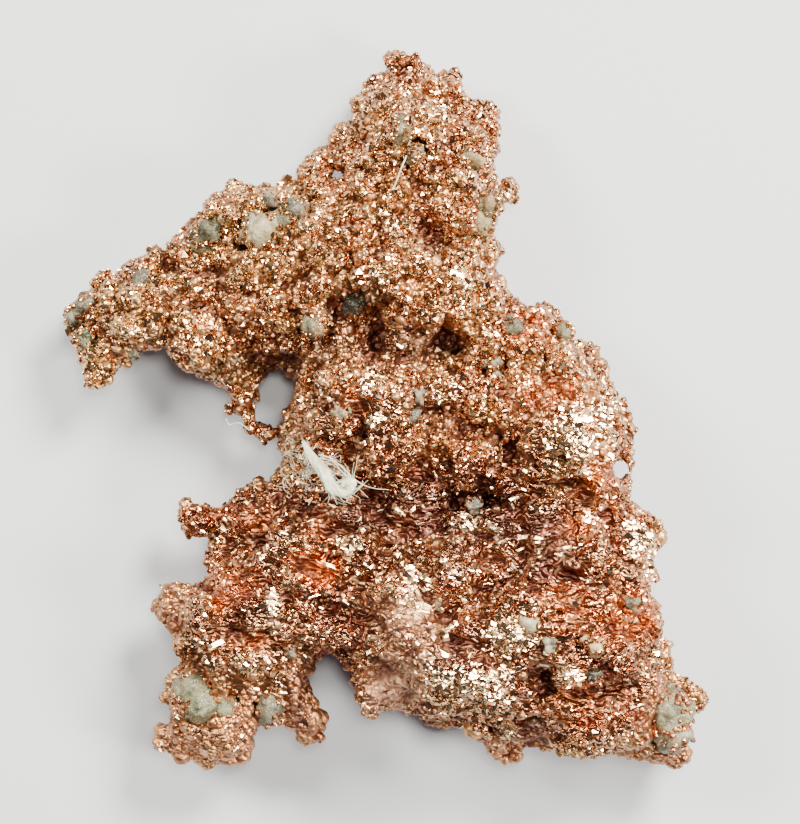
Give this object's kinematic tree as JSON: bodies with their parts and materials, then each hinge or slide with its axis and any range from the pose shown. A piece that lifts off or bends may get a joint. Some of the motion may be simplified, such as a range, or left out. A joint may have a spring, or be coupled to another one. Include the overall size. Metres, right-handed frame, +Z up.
{
  "type": "native copper nugget",
  "caption": "Knobbly, branching mass of native copper lying on its back, with pale quartz grains in its pockets and a tuft of lint caught on one side.",
  "frame": {"origin": "middle of the footprint, on the surface that the nugget lies on", "axes": "+Y along the nugget's length towards its head, +X to its right as seen from above, +Z up out of the face that shows"},
  "size_m": [0.0446, 0.0504, 0.015],
  "materials": {
    "copper": "bright native copper, granular, darker in the hollows",
    "quartz": "milky, waxy",
    "lint": "twisted fibres"
  },
  "bodies": {
    "root": {"copper_mass": "copper", "quartz_arm_large": "quartz", "quartz_arm_upper": "quartz", "quartz_arm_edge": "quartz", "quartz_wrist": "quartz", "quartz_hand_upper": "quartz", "quartz_hand_lower": "quartz", "quartz_arm_pocket": "quartz", "quartz_dark_pocket": "quartz", "quartz_head": "quartz", "quartz_throat": "quartz", "quartz_neck_upper": "quartz", "quartz_neck_edge": "quartz", "quartz_shoulder": "quartz", "quartz_shoulder_tip": "quartz", "quartz_chest_right": "quartz", "quartz_skirt_middle": "quartz", "quartz_skirt_right": "quartz", "quartz_foot_right": "quartz", "quartz_foot_left": "quartz", "quartz_foot_small": "quartz", "lint_tuft": "lint"}
  },
  "joints": []
}
